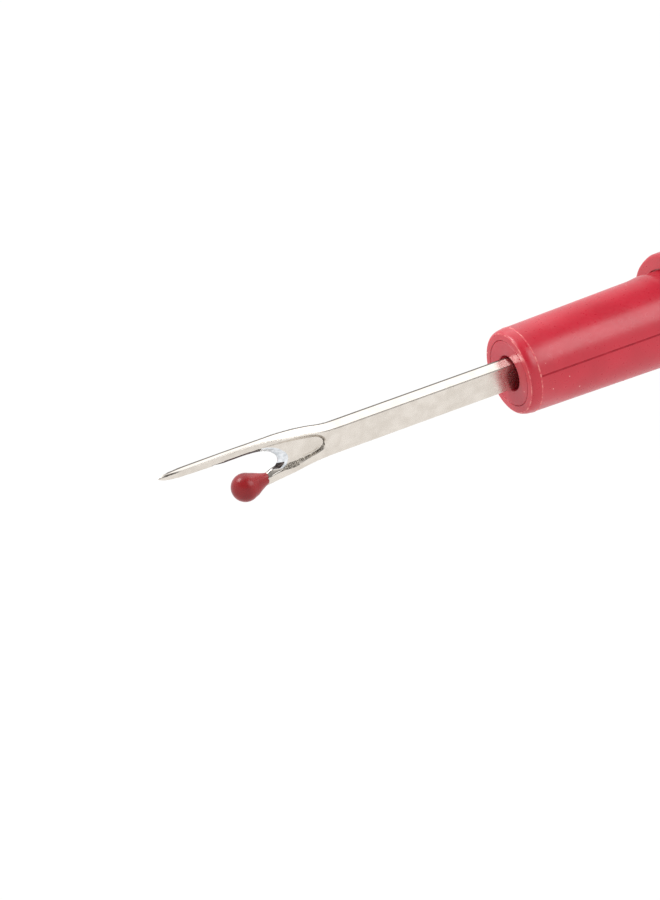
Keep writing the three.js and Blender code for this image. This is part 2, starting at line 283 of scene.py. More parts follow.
side_outline = [
    (TANG_END, -SHANK_HALF_HEIGHT, CORNER),
    (TANG_END, SHANK_HALF_HEIGHT, CORNER),
    (-19.6, SHANK_HALF_HEIGHT, CORNER),
    (-21.4, 1.67),
    (-23.4, 2.10),
    (-25.6, 2.44),
    (-27.8, 2.72),
    (-30.4, PRONG_TOP),
    (-36.0, PRONG_TOP, CORNER),
    (-37.9, PRONG_TOP - 0.04),
    (-39.0, PRONG_TOP - 0.13),
    (TIP, PRONG_TOP - 0.24, CORNER),
    (-39.25, 2.42),
    (-38.4, 2.22),
    (-36.8, 2.11),
    (-33.9, 2.02, CORNER),
    (-33.2, 1.78),
    (-31.6, 1.72),
    (-30.0, 1.70),
    (-28.33, 1.42),
    (-27.25, 0.78),
    (-26.71, -0.27),
    (-26.94, -0.93),
    (-27.73, -1.50),
    (-28.5, -1.82),
    (SHORT_END, -1.96, CORNER),
    (SHORT_END, -2.76, CORNER),
    (-28.4, -2.80),
    (-26.9, -2.47),
    (-25.2, -2.13),
    (-23.4, -1.80),
    (-21.6, -1.62),
    (-20.6, -SHANK_HALF_HEIGHT, CORNER),
]
blade = plate(
    "forked_blade",
    side_outline,
    lambda along, up: place(along, -PLATE_HALF, up),
    (0, 2 * PLATE_HALF * MM, 0),
)
count_faces(blade)

# %% [markdown]
# Seen from above, the fork is forged thinner than the bar, and the long prong narrows again to
# its point. A plate drawn in plan and crossed with the stamping leaves just that.

# %% Thin the fork
plan_half_outline = [
    (TANG_END + 1, 1.2, CORNER),
    (-25.0, 1.2, CORNER),
    (-25.1, 0.70, CORNER),
    (-26.7, 0.59),
    (-28.2, 0.43),
    (-30.0, 0.335, CORNER),
    (-36.6, 0.325, CORNER),
    (-38.4, 0.26),
    (-39.3, 0.14),
    (TIP - 0.05, 0.045, CORNER),
]
mirrored_half = [(along, -across, *corner) for along, across, *corner in plan_half_outline]
plan_plate = plate(
    "plan_plate",
    plan_half_outline + mirrored_half[::-1],
    lambda along, across: place(along, across, -5),
    (0, 0, 10 * MM),
)
cut(blade, plan_plate, "INTERSECT")
count_faces(blade)

# %% [markdown]
# ## Striking the pocket and grinding the edge
#
# Behind the notch both flat sides have a shallow pocket, struck with a punch. Its upper wall
# is a long slope that reaches the back of the fork, and its lower wall is short and steep. Then
# the notch is ground from both sides to make the cutting edge. Each cutter is drawn once, for
# the near side, and a Mirror modifier gives the far one.

# %% Strike the pocket
POCKET_FLOOR = 0.335
pocket_floor = [
    (-31.5, 2.90, CORNER),
    (-29.6, 2.40),
    (-27.6, 2.02),
    (-26.0, 1.83),
    (-24.3, 1.53),
    (-22.75, 1.18),
    (-22.0, 0.75),
    (-21.78, 0.20),
    (-22.02, -0.28),
    (-22.66, -0.62),
    (-23.78, -0.84),
    (-24.9, -0.92),
    (-26.0, -0.96),
    (-27.1, -1.16),
    (-28.9, -1.55, CORNER),
]
pocket_rim = [
    (-31.5, 3.40, CORNER),
    (-29.6, 2.98),
    (-27.6, 2.72),
    (-26.0, 2.44),
    (-24.3, 2.16),
    (-22.55, 1.72),
    (-21.72, 1.00),
    (-21.48, 0.26),
    (-21.68, -0.34),
    (-22.45, -0.69),
    (-23.55, -0.97),
    (-24.5, -1.32),
    (-25.9, -1.52),
    (-27.2, -1.62),
    (-28.9, -1.80, CORNER),
]
pocket_punch = sloped_punch("pocket_punch", pocket_floor, POCKET_FLOOR, pocket_rim, 0.72)
mirror_across(pocket_punch)
cut(blade, pocket_punch)
count_faces(blade)

# %% Grind the notch
EDGE_HALF = 0.045
ground_edge = [
    (-33.7, 1.96, CORNER),
    (-32.9, 1.76),
    (-31.6, 1.72),
    (-30.0, 1.70),
    (-28.33, 1.42),
    (-27.25, 0.78),
    (-26.71, -0.27),
    (-26.94, -0.93),
    (-27.73, -1.50),
    (-28.6, -1.86, CORNER),
    (-33.7, -1.0, CORNER),
]
ground_back = [
    (-33.9, 2.16, CORNER),
    (-32.9, 2.17),
    (-31.6, 2.20),
    (-29.9, 2.18),
    (-27.85, 1.92),
    (-26.5, 1.12),
    (-25.66, -0.24),
    (-26.0, -1.08),
    (-27.4, -1.66),
    (-28.5, -2.05, CORNER),
    (-33.9, -1.0, CORNER),
]
notch_wheel = sloped_punch("notch_wheel", ground_edge, EDGE_HALF, ground_back, 0.38)
mirror_across(notch_wheel)
cut(blade, notch_wheel)
count_faces(blade)

# %% [markdown]
# Two round notches in the tang's edges key the blade into its plug. They are hidden, but the
# piece is the whole blade.

# %% Key the tang
KEY_LENGTH = 15.5
KEY_RADIUS = 0.45
for edge in (SHANK_HALF_HEIGHT, -SHANK_HALF_HEIGHT):
    let_go()
    bpy.ops.mesh.primitive_cylinder_add(
        vertices=24,
        radius=KEY_RADIUS * MM,
        depth=4 * MM,
        location=place(KEY_LENGTH, 0, edge),
        rotation=(math.pi / 2, 0, 0),
    )
    key_cutter = bpy.context.object
    cut(blade, key_cutter)
    throw_away(key_cutter)

# %% [markdown]
# The bead will be hollowed by the prong inside it. A Boolean likes crisp, simple solids, so the
# blade is copied for that before its edges are rounded. Rounding takes material away, so the
# finished prong lies just inside the socket.

# %% Keep a crisp copy for the bead's socket
pick(blade)
bpy.ops.object.duplicate()
prong_core = bpy.context.object
prong_core.name = "prong_core"
count_faces(prong_core)

# %% [markdown]
# ## Tumbling
#
# Before it is plated, the real blade is tumbled with grit, so no edge on it is crisp. A fine
# voxel remesh followed by a little smoothing does the same thing to the mesh. A Decimate
# modifier then takes away the thousands of faces that the flats don't need.

# %% Tumble the blade
VOXEL = 0.05
apply_modifier(blade, "REMESH", mode="VOXEL", voxel_size=VOXEL * MM)
apply_modifier(blade, "SMOOTH", factor=0.5, iterations=9)
count_faces(blade)

# %% [markdown]
# The tumbled mesh is dense even where it is flat. A vertex group marks the flat parts, which are
# the vertices that all of the faces around meet at almost no angle. Decimate thins the mesh
# there and leaves the rounded edges alone. Weighted Normal then lets the large flat faces rule
# the shading, so they look flat right up to their edges.

# %% Thin out the flats
FLAT_ANGLE = math.radians(1.2)
KEPT_SHARE = 0.33
meshed = bmesh.new()
meshed.from_mesh(blade.data)
flat_vertices = [
    vertex.index
    for vertex in meshed.verts
    if all(edge.calc_face_angle(math.pi) < FLAT_ANGLE for edge in vertex.link_edges)
]
meshed.free()
blade.vertex_groups.new(name="flats").add(flat_vertices, 1.0, "REPLACE")
print("flat vertices:", len(flat_vertices), "of", len(blade.data.vertices))
apply_modifier(
    blade, "DECIMATE", decimate_type="COLLAPSE", ratio=KEPT_SHARE, vertex_group="flats"
)
blade.vertex_groups.clear()
close_up(blade)
pick(blade)
bpy.ops.object.shade_smooth()
apply_modifier(blade, "WEIGHTED_NORMAL", weight=60)
count_faces(blade)

# %% [markdown]
# ## The bead
#
# The bead is plastic that was dipped onto the short prong. It hangs as a drop: a ball in front
# and a straight taper back to a thin neck that takes the shape of the prong. A drop is a
# turned shape, so its half outline is drawn with extruded vertices and spun about its axis.


# %% Spin helper
def spin_solid(name, profile, height, steps):
    """Spins a half outline of (length, radius) places about the line at that height."""
    let_go()
    start_length, start_radius = profile[0]
    bpy.ops.mesh.primitive_plane_add(
        size=0.1 * MM, location=place(start_length, 0, height + start_radius)
    )
    piece = bpy.context.object
    piece.name = name
    bpy.ops.object.transform_apply(location=True, rotation=False, scale=False)
    edit_all(piece)
    bpy.ops.mesh.merge(type="CENTER")
    here = profile[0]
    for there in profile[1:]:
        step = ((there[0] - here[0]) * MM, 0, (there[1] - here[1]) * MM)
        bpy.ops.mesh.extrude_region_move(TRANSFORM_OT_translate={"value": step})
        here = there
    bpy.ops.mesh.select_all(action="SELECT")
    bpy.ops.mesh.spin(
        steps=steps, angle=2 * math.pi, center=place(0, 0, height), axis=(1, 0, 0)
    )
    close_up(piece)
    return piece


def quarter_round(start, end, steps, across_first):
    """Places along a quarter ellipse between two (length, radius) places."""
    places = []
    for step in range(steps + 1):
        turn = math.pi / 2 * step / steps
        early, late = math.sin(turn), 1 - math.cos(turn)
        across, along = (early, late) if across_first else (late, early)
        places.append(
            (start[0] + (end[0] - start[0]) * along, start[1] + (end[1] - start[1]) * across)
        )
    return places


# %% Spin the drop
BEAD_RADIUS = (bead_high.y - bead_low.y) / 2 / MM
BEAD_HEIGHT = (bead_low.z - AXIS_Z) / MM + BEAD_RADIUS
BEAD_FRONT = length_of(bead_low.x)
BEAD_CENTRE = BEAD_FRONT + BEAD_RADIUS
LAST_TURN = math.radians(118)
BALL_STEPS = 20
BEAD_STEPS = 72

drop_profile = [(BEAD_FRONT, 0)]
for step in range(1, BALL_STEPS + 1):
    turn = LAST_TURN * step / BALL_STEPS
    drop_profile.append(
        (BEAD_CENTRE - BEAD_RADIUS * math.cos(turn), BEAD_RADIUS * math.sin(turn))
    )
taper = [
    (-29.22, 1.155),
    (-28.92, 1.03),
    (-28.62, 0.90),
    (-28.35, 0.79),
    (-28.12, 0.71),
    (-27.95, 0.66),
    (-27.87, 0.635),
    (-27.83, 0.60),
    (-27.82, 0.55),
]
drop_profile += taper + [(-27.82, 0)]
bead = spin_solid("dipped_bead", drop_profile, BEAD_HEIGHT, BEAD_STEPS)
count_faces(bead)

# %% [markdown]
# The drop's neck follows the prong, which is thinner than it is tall and lies a little higher
# than the ball. So each ring of the taper is selected by its place, squeezed and lifted, more
# and more towards the end.

# %% Shape the drop's neck
NECK_SQUEEZE = 0.24
NECK_LIFT = 0.15
DIPPED_CREASE = math.radians(38)
for length, radius in taper:
    share = (length - taper[0][0]) / (taper[-1][0] - taper[0][0])
    select_by_place(bead, lambda co: abs(length_of(co.x) - length) < 0.002)
    bpy.ops.transform.resize(
        value=(1, 1 - NECK_SQUEEZE * share, 1), center_override=place(length, 0, BEAD_HEIGHT)
    )
    bpy.ops.transform.translate(value=(0, 0, NECK_LIFT * share * MM))
close_up(bead)
cut(bead, prong_core)
throw_away(prong_core)
pick(bead)
bpy.ops.object.shade_smooth_by_angle(angle=DIPPED_CREASE)
count_faces(bead)

# %% [markdown]
# ## The blade's plug
#
# The blade is not moulded into the handle. It sits in a plug that is pressed into the neck and
# shows as a ring round the blade. Both the plug and the neck have broken edges, so the joint
# between them is a fine groove, and the bore round the blade has a rounded lip.

# %% Spin the plug
PLUG_RADIUS = (plug_high.y - plug_low.y) / 2 / MM
PLUG_END = length_of(plug_high.x)
BORE_RADIUS = 1.87
BORE_DEPTH = 9
LIP = 0.16
BROKEN_EDGE = 0.06
SLOT_GAP = 0.02
PLUG_STEPS = 96
MOULDED_CREASE = math.radians(32)

plug_profile = [(BORE_DEPTH, 0), (BORE_DEPTH, BORE_RADIUS)]
plug_profile += quarter_round((LIP, BORE_RADIUS), (0, BORE_RADIUS + LIP), 4, False)
plug_profile += [(0, PLUG_RADIUS - BROKEN_EDGE), (BROKEN_EDGE, PLUG_RADIUS)]
plug_profile += [(PLUG_END - BROKEN_EDGE, PLUG_RADIUS), (PLUG_END, PLUG_RADIUS - BROKEN_EDGE)]
plug_profile += [(PLUG_END, 0)]
plug = spin_solid("blade_holder_plug", plug_profile, 0, PLUG_STEPS)
count_faces(plug)

# %% Cut the slot that grips the tang
slot_knots = [
    (BORE_DEPTH - 1, -SHANK_HALF_HEIGHT - SLOT_GAP, CORNER),
    (TANG_END + SLOT_GAP, -SHANK_HALF_HEIGHT - SLOT_GAP, CORNER),
    (TANG_END + SLOT_GAP, SHANK_HALF_HEIGHT + SLOT_GAP, CORNER),
    (BORE_DEPTH - 1, SHANK_HALF_HEIGHT + SLOT_GAP, CORNER),
]
slot_half = PLATE_HALF + SLOT_GAP
slot_cutter = plate(
    "slot_cutter",
    slot_knots,
    lambda along, up: place(along, -slot_half, up),
    (0, 2 * slot_half * MM, 0),
    steps=1,
)
cut(plug, slot_cutter)
throw_away(slot_cutter)
pick(plug)
bpy.ops.object.shade_smooth_by_angle(angle=MOULDED_CREASE)
count_faces(plug)

# %% [markdown]
# ## The handle
#
# The handle is one moulding: a round neck with a rounded rim, a snap ridge that holds the cap,
# a shoulder, and a long grip. It is hollow, so its half outline is a closed loop that goes out
# along the outside and back through the bores. A mould leaves a fine raised line where its
# front ring met its halves, just behind the rim.

# %% Draw the handle's half outline
NECK_RADIUS = 4.5
NECK_DRAFT = 0.0190
NECK_END = 20
NECK_BORE = 3.49
RIM_LENGTH = 1.05
RIM_DEPTH = 0.36
RIDGE_START = 16.4
RIDGE_END = 18.7
RIDGE_HEIGHT = 0.10
RIDGE_SKEW = 1.6
RELIEF_RADIUS = 5.04
RELIEF_DEPTH = 0.25
SHOULDER_RADIUS = 6.6
SHOULDER_ROUND = 0.45
SWELL_LENGTH = 9
TAPER_LENGTH = 14
TAIL_RADIUS = 5.9
CORE_RADIUS = 4.41
STOP_START = 24.05
STOP_END = 26.05
STOP_HOLE = 2.3
HANDLE_STEPS = 120


def neck_radius(length):
    return NECK_RADIUS + NECK_DRAFT * length


handle_profile = [(BROKEN_EDGE, NECK_BORE), (0, NECK_BORE + BROKEN_EDGE)]
handle_profile += quarter_round(
    (0, NECK_RADIUS - RIM_DEPTH), (RIM_LENGTH, neck_radius(RIM_LENGTH)), 10, True
)
mould_ring = [(0.05, 0.035), (0.12, 0.04), (0.20, 0.0)]
for behind, above in mould_ring:
    length = RIM_LENGTH + behind
    handle_profile.append((length, neck_radius(length) + above))
for length in (4.5, 8.5, 12.5):
    handle_profile.append((length, neck_radius(length)))
RIDGE_STEPS = 10
for step in range(RIDGE_STEPS + 1):
    share = step / RIDGE_STEPS
    length = RIDGE_START + (RIDGE_END - RIDGE_START) * share
    swell = RIDGE_HEIGHT * math.sin(math.pi * share**RIDGE_SKEW)
    handle_profile.append((length, neck_radius(length) + swell))
print(len(handle_profile), "places from the bore to the snap ridge")

# %% Continue the outline to the tail and back inside
handle_profile += [
    (NECK_END + RELIEF_DEPTH, neck_radius(NECK_END)),
    (NECK_END + RELIEF_DEPTH, RELIEF_RADIUS),
    (NECK_END, RELIEF_RADIUS),
]
swell_start = NECK_END + SHOULDER_ROUND
handle_profile += quarter_round(
    (NECK_END, SHOULDER_RADIUS - SHOULDER_ROUND), (swell_start, SHOULDER_RADIUS), 8, True
)
SWELL_STEPS = 16
for step in range(1, SWELL_STEPS + 1):
    share = step / SWELL_STEPS
    ease = share * share * (3 - 2 * share)
    radius = SHOULDER_RADIUS + (CORNER_RADIUS - SHOULDER_RADIUS) * ease
    handle_profile.append((swell_start + SWELL_LENGTH * share, radius))
for length in (40, 50, 60, 70):
    handle_profile.append((length, CORNER_RADIUS))
TAIL_BREAK = 0.15
handle_profile += quarter_round(
    (SHELL_END - TAPER_LENGTH, CORNER_RADIUS), (SHELL_END - TAIL_BREAK, TAIL_RADIUS), 14, False
)
handle_profile += [
    (SHELL_END, TAIL_RADIUS - TAIL_BREAK),
    (SHELL_END, CORE_RADIUS),
    (STOP_END, CORE_RADIUS),
    (STOP_END, STOP_HOLE),
    (STOP_START, STOP_HOLE),
    (STOP_START, NECK_BORE),
    (BROKEN_EDGE, NECK_BORE),
]
handle = spin_solid("moulded_handle", handle_profile, 0, HANDLE_STEPS)
count_faces(handle)

# %% [markdown]
# ## The parting line
#
# The halves of the mould leave a faint line along the neck, on both sides. The handle is turned
# until a row of its vertices lies on that line. The row's edges are then bevelled, and the
# middle of the bevel is pushed in, which makes a shallow groove.

# %% Groove the neck
LINE_ANGLE = 25.5
LINE_WIDTH = 0.10
LINE_DEPTH = 0.06
LINE_START = 1.2
LINE_END = 19.9
ROW_SHARE = 0.1
line_turn = math.radians(LINE_ANGLE)
line_normal = Vector((0, -math.cos(line_turn), math.sin(line_turn)))
row_pitch = math.tau / HANDLE_STEPS
turn_to_line = (math.pi / 2 - line_turn) % row_pitch


def on_line(co, normal):
    spoke = co - place(length_of(co.x), 0, 0)
    length = length_of(co.x)
    on_neck = LINE_START < length < LINE_END and spoke.length > NECK_RADIUS * MM
    return on_neck and spoke.normalized().dot(normal) > math.cos(ROW_SHARE * row_pitch)


edit_all(handle)
bpy.ops.transform.rotate(
    value=turn_to_line, orient_axis="X", center_override=place(0, 0, 0), orient_type="GLOBAL"
)
for normal in (line_normal, -line_normal):
    select_by_place(handle, lambda co: on_line(co, normal))
    print("vertices on the line:", handle.data.total_vert_sel)
    bpy.ops.mesh.bevel(offset=LINE_WIDTH * MM, segments=2, profile=1.0, affect="EDGES")
    select_by_place(handle, lambda co: on_line(co, normal))
    bpy.ops.transform.translate(value=-normal * LINE_DEPTH * MM)
let_go()
count_faces(handle)

# %% [markdown]
# ## Six flats
#
# The grip has six flats, so that it doesn't roll. Each one is pressed in: a vertex that stands
# outside the flat's plane slides in along the flat's normal. The slide is eased near the plane,
# which leaves the soft edges of a moulding instead of a crease.

# %% Press the flats
FLAT_COUNT = 6
FLAT_EASE = 0.16
SHOULDER_FACE = NECK_END + 0.001


def eased_limit(value, limit, ease):
    """The lower of value and limit, rounded off where they cross."""
    if value <= limit - ease:
        return value
    if value >= limit + ease:
        return limit
    over = value - limit + ease
    return value - over * over / (4 * ease)


for vertex in handle.data.vertices:
    if length_of(vertex.co.x) < SHOULDER_FACE:
        continue
    for number in range(FLAT_COUNT):
        turn = math.pi / 2 + number * math.tau / FLAT_COUNT
        normal = Vector((0, math.cos(turn), math.sin(turn)))
        reach = (vertex.co - place(0, 0, 0)).dot(normal) / MM
        pressed = eased_limit(reach, FLAT_RADIUS, FLAT_EASE)
        vertex.co += normal * (pressed - reach) * MM
pick(handle)
bpy.ops.object.shade_smooth_by_angle(angle=MOULDED_CREASE)
count_faces(handle)

# %% [markdown]
# ## The tail plug
#
# A domed plug closes the hollow grip. Its hollow stem grips the bore, and the mark where the
# plastic entered the mould is a small round dimple in the middle of the dome.

# %% Spin the tail plug
TAIL_GAP = 0.04
STEM_LENGTH = 8
STEM_WALL = 1.4
DOME_LENGTH = 1.9
DOME_SPREAD = 2.2
GATE_RADIUS = 0.8
GATE_DEPTH = 0.15
GATE_LIP = 0.05
GATE_SLOPE = 0.1

head_start = SHELL_END + TAIL_GAP
stem_start = head_start - STEM_LENGTH
stem_radius = CORE_RADIUS - TAIL_GAP
tail_profile = [
    (head_start, 0),
    (head_start, stem_radius - STEM_WALL),
    (stem_start, stem_radius - STEM_WALL),
    (stem_start, stem_radius - TAIL_BREAK),
    (stem_start + TAIL_BREAK, stem_radius),
    (head_start, stem_radius),
    (head_start, TAIL_RADIUS - TAIL_BREAK),
    (head_start + TAIL_BREAK, TAIL_RADIUS),
]
dome_start = TAIL_END - DOME_LENGTH
flat_radius = TAIL_RADIUS - DOME_SPREAD * DOME_LENGTH
tail_profile += quarter_round((dome_start, TAIL_RADIUS), (TAIL_END, flat_radius), 16, False)
tail_profile += [
    (TAIL_END, GATE_RADIUS + GATE_SLOPE),
    (TAIL_END - GATE_LIP, GATE_RADIUS),
    (TAIL_END - GATE_DEPTH, GATE_RADIUS - GATE_SLOPE),
    (TAIL_END - GATE_DEPTH, 0),
]
tail = spin_solid("domed_tail_plug", tail_profile, 0, PLUG_STEPS)
pick(tail)
bpy.ops.object.shade_smooth_by_angle(angle=MOULDED_CREASE)
count_faces(tail)

# %% [markdown]
# ## Shared finishes
#
# Several materials need the same small effects, so each effect is a node group that is built
# once: a slow drift of colour, a fine grain that also varies the gloss, hairline scratches
# along the tool, and sparse specks of dust. A group gives only colours, masks and heights. The
# shader and its plain values stay in the material.


# %% Node group helpers
def new_group(name, inputs, outputs):
    group = bpy.data.node_groups.new(name, "ShaderNodeTree")
    for socket_name, kind, value in inputs:
        socket = group.interface.new_socket(
            name=socket_name, in_out="INPUT", socket_type="NodeSocket" + kind
        )
        if value is not None:
            socket.default_value = value
    for socket_name, kind in outputs:
        group.interface.new_socket(
            name=socket_name, in_out="OUTPUT", socket_type="NodeSocket" + kind
        )
    print("node group", name)
    return group


def add(tree, kind, **values):
    node = tree.nodes.new("ShaderNode" + kind)
    for key, value in values.items():
        setattr(node, key, value)
    return node


def ends(tree):
    return tree.nodes.new("NodeGroupInput"), tree.nodes.new("NodeGroupOutput")


def noise(tree, vector, scale, detail=2.0):
    node = add(tree, "TexNoise")
    node.inputs["Detail"].default_value = detail
    tree.links.new(vector, node.inputs["Vector"])
    if isinstance(scale, (int, float)):
        node.inputs["Scale"].default_value = scale
    else:
        tree.links.new(scale, node.inputs["Scale"])
    return node.outputs["Fac"]


def ranged(tree, value, from_low, from_high, to_low=0.0, to_high=1.0):
    node = add(tree, "MapRange")
    names = ("Value", "From Min", "From Max", "To Min", "To Max")
    for socket_name, source in zip(names, (value, from_low, from_high, to_low, to_high)):
        socket = node.inputs[socket_name]
        if isinstance(source, (int, float)):
            socket.default_value = source
        else:
            tree.links.new(source, socket)
    return node.outputs["Result"]


# A Mix node has a set of sockets for each kind of value. These are the ones for colours.
MIX_FACTOR = 0
MIX_FIRST = 6
MIX_SECOND = 7
MIX_COLOUR = 2


def mixed(tree, share, first, second):
    node = add(tree, "Mix", data_type="RGBA")
    sockets = [node.inputs[index] for index in (MIX_FACTOR, MIX_FIRST, MIX_SECOND)]
    for socket, source in zip(sockets, (share, first, second)):
        if isinstance(source, (int, float, tuple)):
            socket.default_value = source
        else:
            tree.links.new(source, socket)
    return node.outputs[MIX_COLOUR]


def ramp(tree, value, stops):
    """Levels from 0 to 1 at given shares of the value, joined by straight lines."""
    node = add(tree, "ValToRGB")
    elements = node.color_ramp.elements
    while len(elements) < len(stops):
        elements.new(0.5)
    for element, (share, level) in zip(elements, stops):
        element.position = share
        element.color = (level, level, level, 1)
    tree.links.new(value, node.inputs["Fac"])
    return node.outputs["Color"]


def reckon(tree, operation, first, second=0.0):
    node = add(tree, "Math", operation=operation)
    for socket, source in zip(node.inputs, (first, second)):
        if isinstance(source, (int, float)):
            socket.default_value = source
        else:
            tree.links.new(source, socket)
    return node.outputs["Value"]


# %% Group: slow drift of colour
drift = new_group(
    "colour_drift",
    [
        ("Vector", "Vector", None),
        ("Light", "Color", (0.8, 0.8, 0.8, 1)),
        ("Dark", "Color", (0.5, 0.5, 0.5, 1)),
        ("Scale", "Float", 300.0),
    ],
    [("Color", "Color")],
)
source, result = ends(drift)
patches = noise(drift, source.outputs["Vector"], source.outputs["Scale"], 3.0)
share = ranged(drift, patches, 0.35, 0.65)
colour = mixed(drift, share, source.outputs["Dark"], source.outputs["Light"])
drift.links.new(colour, result.inputs["Color"])

# %% Group: fine grain
grain = new_group(
    "fine_grain",
    [
        ("Vector", "Vector", None),
        ("Scale", "Float", 4000.0),
        ("Low", "Float", 0.3),
        ("High", "Float", 0.4),
    ],
    [("Roughness", "Float"), ("Height", "Float")],
)
source, result = ends(grain)
speckle = noise(grain, source.outputs["Vector"], source.outputs["Scale"], 4.0)
satin = ranged(grain, speckle, 0.3, 0.7, source.outputs["Low"], source.outputs["High"])
grain.links.new(satin, result.inputs["Roughness"])
grain.links.new(speckle, result.inputs["Height"])

# %% Group: hairline scratches
hairlines = new_group(
    "hairlines",
    [("Vector", "Vector", None), ("Stretch", "Vector", (300.0, 9000.0, 9000.0))],
    [("Mask", "Float"), ("Height", "Float")],
)
source, result = ends(hairlines)
stretch = add(hairlines, "VectorMath", operation="MULTIPLY")
hairlines.links.new(source.outputs["Vector"], stretch.inputs[0])
hairlines.links.new(source.outputs["Stretch"], stretch.inputs[1])
lines = noise(hairlines, stretch.outputs["Vector"], 1.0, 3.0)
mask = ranged(hairlines, lines, 0.62, 0.72)
hairlines.links.new(mask, result.inputs["Mask"])
hairlines.links.new(lines, result.inputs["Height"])

# %% Group: sparse specks
specks = new_group(
    "sparse_specks",
    [
        ("Vector", "Vector", None),
        ("Scale", "Float", 900.0),
        ("Size", "Float", 0.12),
        ("Share", "Float", 0.9),
    ],
    [("Mask", "Float")],
)
source, result = ends(specks)
cells = add(specks, "TexVoronoi")
specks.links.new(source.outputs["Vector"], cells.inputs["Vector"])
specks.links.new(source.outputs["Scale"], cells.inputs["Scale"])
near = reckon(specks, "LESS_THAN", cells.outputs["Distance"], source.outputs["Size"])
chosen = add(specks, "SeparateColor")
specks.links.new(cells.outputs["Color"], chosen.inputs["Color"])
rare = reckon(specks, "GREATER_THAN", chosen.outputs["Red"], source.outputs["Share"])
specks.links.new(reckon(specks, "MULTIPLY", near, rare), result.inputs["Mask"])


# %% Material helpers
def new_material(name, **shader_values):
    material = bpy.data.materials.new(name)
    material.use_nodes = True
    shader = material.node_tree.nodes["Principled BSDF"]
    for key, value in shader_values.items():
        shader.inputs[key.replace("_", " ")].default_value = value
    position = add(material.node_tree, "TexCoord").outputs["Object"]
    print("material", name)
    return material, material.node_tree, shader, position


def put(tree, group, position, **values):
    node = add(tree, "Group", node_tree=group)
    tree.links.new(position, node.inputs["Vector"])
    for key, value in values.items():
        socket = node.inputs[key]
        if isinstance(value, (int, float, tuple)):
            socket.default_value = value
        else:
            tree.links.new(value, socket)
    return node


def drifting(tree, position, light, dark, scale):
    return put(tree, drift, position, Light=light, Dark=dark, Scale=scale).outputs["Color"]


def gloss(tree, shader, position, scale, low, high):
    """Grain that varies the roughness from low to high."""
    skin = put(tree, grain, position, Scale=scale, Low=low, High=high)
    tree.links.new(skin.outputs["Roughness"], shader.inputs["Roughness"])
    return skin


def bump(tree, shader, *heights):
    """Chains bumps, each (height socket, strength, distance in millimetres)."""
    normal = None
    for height, strength, distance in heights:
        node = add(tree, "Bump")
        node.inputs["Strength"].default_value = strength
        node.inputs["Distance"].default_value = distance * MM
        tree.links.new(height, node.inputs["Height"])
        if normal is not None:
            tree.links.new(normal, node.inputs["Normal"])
        normal = node.outputs["Normal"]
    tree.links.new(normal, shader.inputs["Normal"])


# %% [markdown]
# ## Nickel
#
# The blade is bright nickel over tumbled steel. It is a warm grey metal with a satin grain,
# faint scratches along its length and a few dark pits. The struck wall of the pocket is rougher
# and darker, in fine upright ribs of dark and pale. The ground edge is cooler, with fine lines.

# %% Material: nickel plate
nickel, tree, shader, position = new_material("nickel_plate", Metallic=1.0)
tone = drifting(tree, position, (0.83, 0.77, 0.70, 1), (0.74, 0.68, 0.61, 1), 900.0)
pits = put(tree, specks, position, Scale=1100.0, Size=0.09, Share=0.93)
colour = mixed(tree, pits.outputs["Mask"], tone, (0.16, 0.14, 0.12, 1))
tree.links.new(colour, shader.inputs["Base Color"])
satin = gloss(tree, shader, position, 5000.0, 0.20, 0.34)
scratches = put(tree, hairlines, position, Stretch=(350.0, 9000.0, 9000.0))
bump(
    tree,
    shader,
    (satin.outputs["Height"], 0.06, 0.02),
    (scratches.outputs["Height"], 0.06, 0.01),
)

# %% Material: struck wall
struck, tree, shader, position = new_material("struck_nickel", Metallic=1.0)
ribs = put(tree, hairlines, position, Stretch=(13000.0, 5000.0, 5000.0))
share = ranged(tree, ribs.outputs["Height"], 0.44, 0.60)
tone = mixed(tree, share, (0.12, 0.105, 0.09, 1), (0.58, 0.53, 0.46, 1))
tree.links.new(tone, shader.inputs["Base Color"])
rough = gloss(tree, shader, position, 7000.0, 0.38, 0.55)
bump(tree, shader, (ribs.outputs["Height"], 0.5, 0.03), (rough.outputs["Height"], 0.5, 0.03))

# %% Material: ground edge
ground, tree, shader, position = new_material("ground_nickel", Metallic=1.0)
tone = drifting(tree, position, (0.93, 0.95, 0.98, 1), (0.66, 0.69, 0.72, 1), 2500.0)
tree.links.new(tone, shader.inputs["Base Color"])
gloss(tree, shader, position, 6000.0, 0.22, 0.36)
wheel_lines = put(tree, hairlines, position, Stretch=(600.0, 600.0, 9000.0))
bump(tree, shader, (wheel_lines.outputs["Height"], 0.35, 0.02))

# %% [markdown]
# The narrow top of the blade is bright, and its two long edges show as thin grey lines of
# painted shade, where the rounded edges turn away from the light. The top's tone is a little
# lighter than the sides', a painted highlight. The lines are found from a place's depth in from
# the blade's side. A ramp along the blade, made from the knots of the plan outline, gives the
# half width there. The far line runs all the way. The near one is strong on the bar, faint on
# the fork, and wide at the point.


# %% Measure a place's depth in from the side
def share_along(length):
    return (length - TIP) / (1 - TIP)


top, tree, shader, position = new_material("top_nickel_painted_edge_shade", Metallic=1.0)
where = add(tree, "SeparateXYZ")
tree.links.new(position, where.inputs["Vector"])
lengthwise = ranged(tree, where.outputs["X"], place(TIP, 0, 0).x, place(1, 0, 0).x)
half_stops = [(0.0, 0.05)]
for length, half in reversed([knot[:2] for knot in plan_half_outline[2:-1]]):
    half_stops.append((share_along(length), half))
half_stops.append((share_along(-25.0), PLATE_HALF))
half = ramp(tree, lengthwise, half_stops)
sideways = reckon(tree, "MULTIPLY", where.outputs["Y"], 1 / MM)
depth = reckon(tree, "SUBTRACT", half, reckon(tree, "ABSOLUTE", sideways))
print("half width at", len(half_stops), "places")
